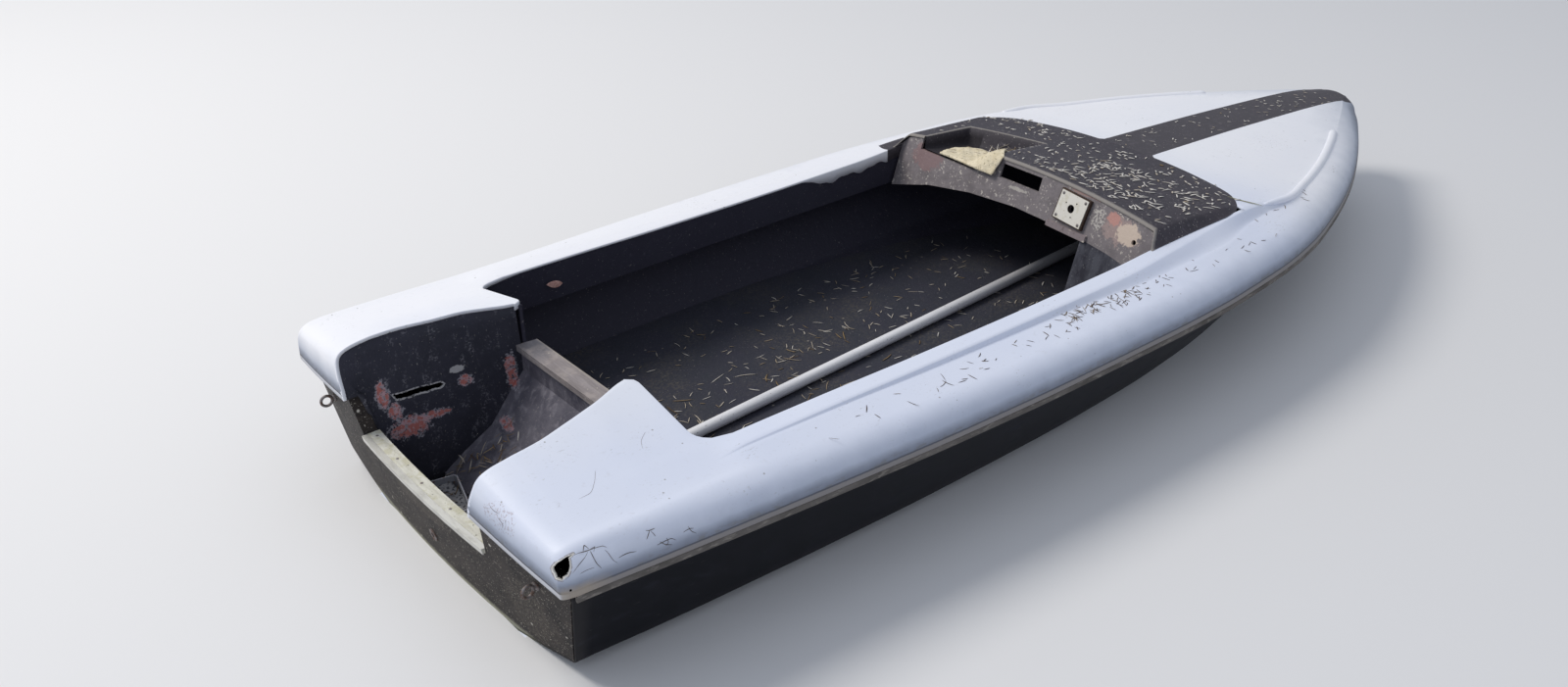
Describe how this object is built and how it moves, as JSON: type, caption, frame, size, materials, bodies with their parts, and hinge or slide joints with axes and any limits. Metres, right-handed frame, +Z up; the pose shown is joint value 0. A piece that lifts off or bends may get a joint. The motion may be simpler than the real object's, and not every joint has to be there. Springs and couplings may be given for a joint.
{
  "type": "outboard speedboat",
  "caption": "Open glass-fibre outboard speedboat, stripped: vee hull, moulded deck, hood over the dash, motor well in the stern and a loose cover pole.",
  "frame": {"origin": "transom's outer face at the waterline, on the centreline", "axes": "+X forward to the bow, +Y to port, +Z up from the water"},
  "size_m": [3.942, 1.574, 0.639],
  "materials": {
    "hull_black": "weathered black gelcoat on glass fibre",
    "deck_white": "weathered white gelcoat on glass fibre",
    "strake_grey": "faded grey rubbing strip",
    "transom_grey": "scuffed dark grey gelcoat",
    "bare_wood": "weathered bare plank",
    "cap_metal": "dull aluminium angle",
    "hood_charcoal": "chalky charcoal coating",
    "dash_black": "worn black face with grey scuffs",
    "liner_black": "rough painted laminate, dirty",
    "plate_white": "white painted plate",
    "dark_wood": "old dark wood",
    "pale_board": "pale raw board",
    "strap_steel": "rusty flat bar",
    "pole_grey": "dull grey tube",
    "eye_steel": "weathered steel"
  },
  "bodies": {
    "root": {"hull_shell": "hull_black", "keel_strip": "hull_black", "spray_rails": "hull_black", "rub_strake_port": "strake_grey", "rub_strake_starboard": "strake_grey", "rub_strake_bow": "strake_grey", "side_deck_port": "deck_white", "side_deck_starboard": "deck_white", "foredeck": "deck_white", "quarter_deck_port": "deck_white", "quarter_deck_starboard": "deck_white", "foredeck_rib_port": "deck_white", "foredeck_rib_starboard": "deck_white", "transom": "transom_grey", "transom_cap_plank": "bare_wood", "transom_cap_angle": "cap_metal", "hood": "hood_charcoal", "tray": "hood_charcoal", "tray_board": "pale_board", "dash_panel": "dash_black", "dash_gusset": "dash_black", "steering_plate": "plate_white", "steering_pad": "dark_wood", "dash_batten": "pale_board", "side_panel_port": "liner_black", "side_panel_starboard": "liner_black", "sole": "liner_black", "aft_bulkhead": "liner_black", "well_side_port": "liner_black", "well_side_starboard": "liner_black", "well_floor": "liner_black", "well_front": "liner_black", "thwart_plank": "dark_wood", "bent_strap": "strap_steel", "cover_pole": "pole_grey", "stern_eye_port": "eye_steel", "stern_eye_starboard": "eye_steel", "bow_eye": "eye_steel", "drain_socket": "eye_steel"}
  },
  "joints": []
}
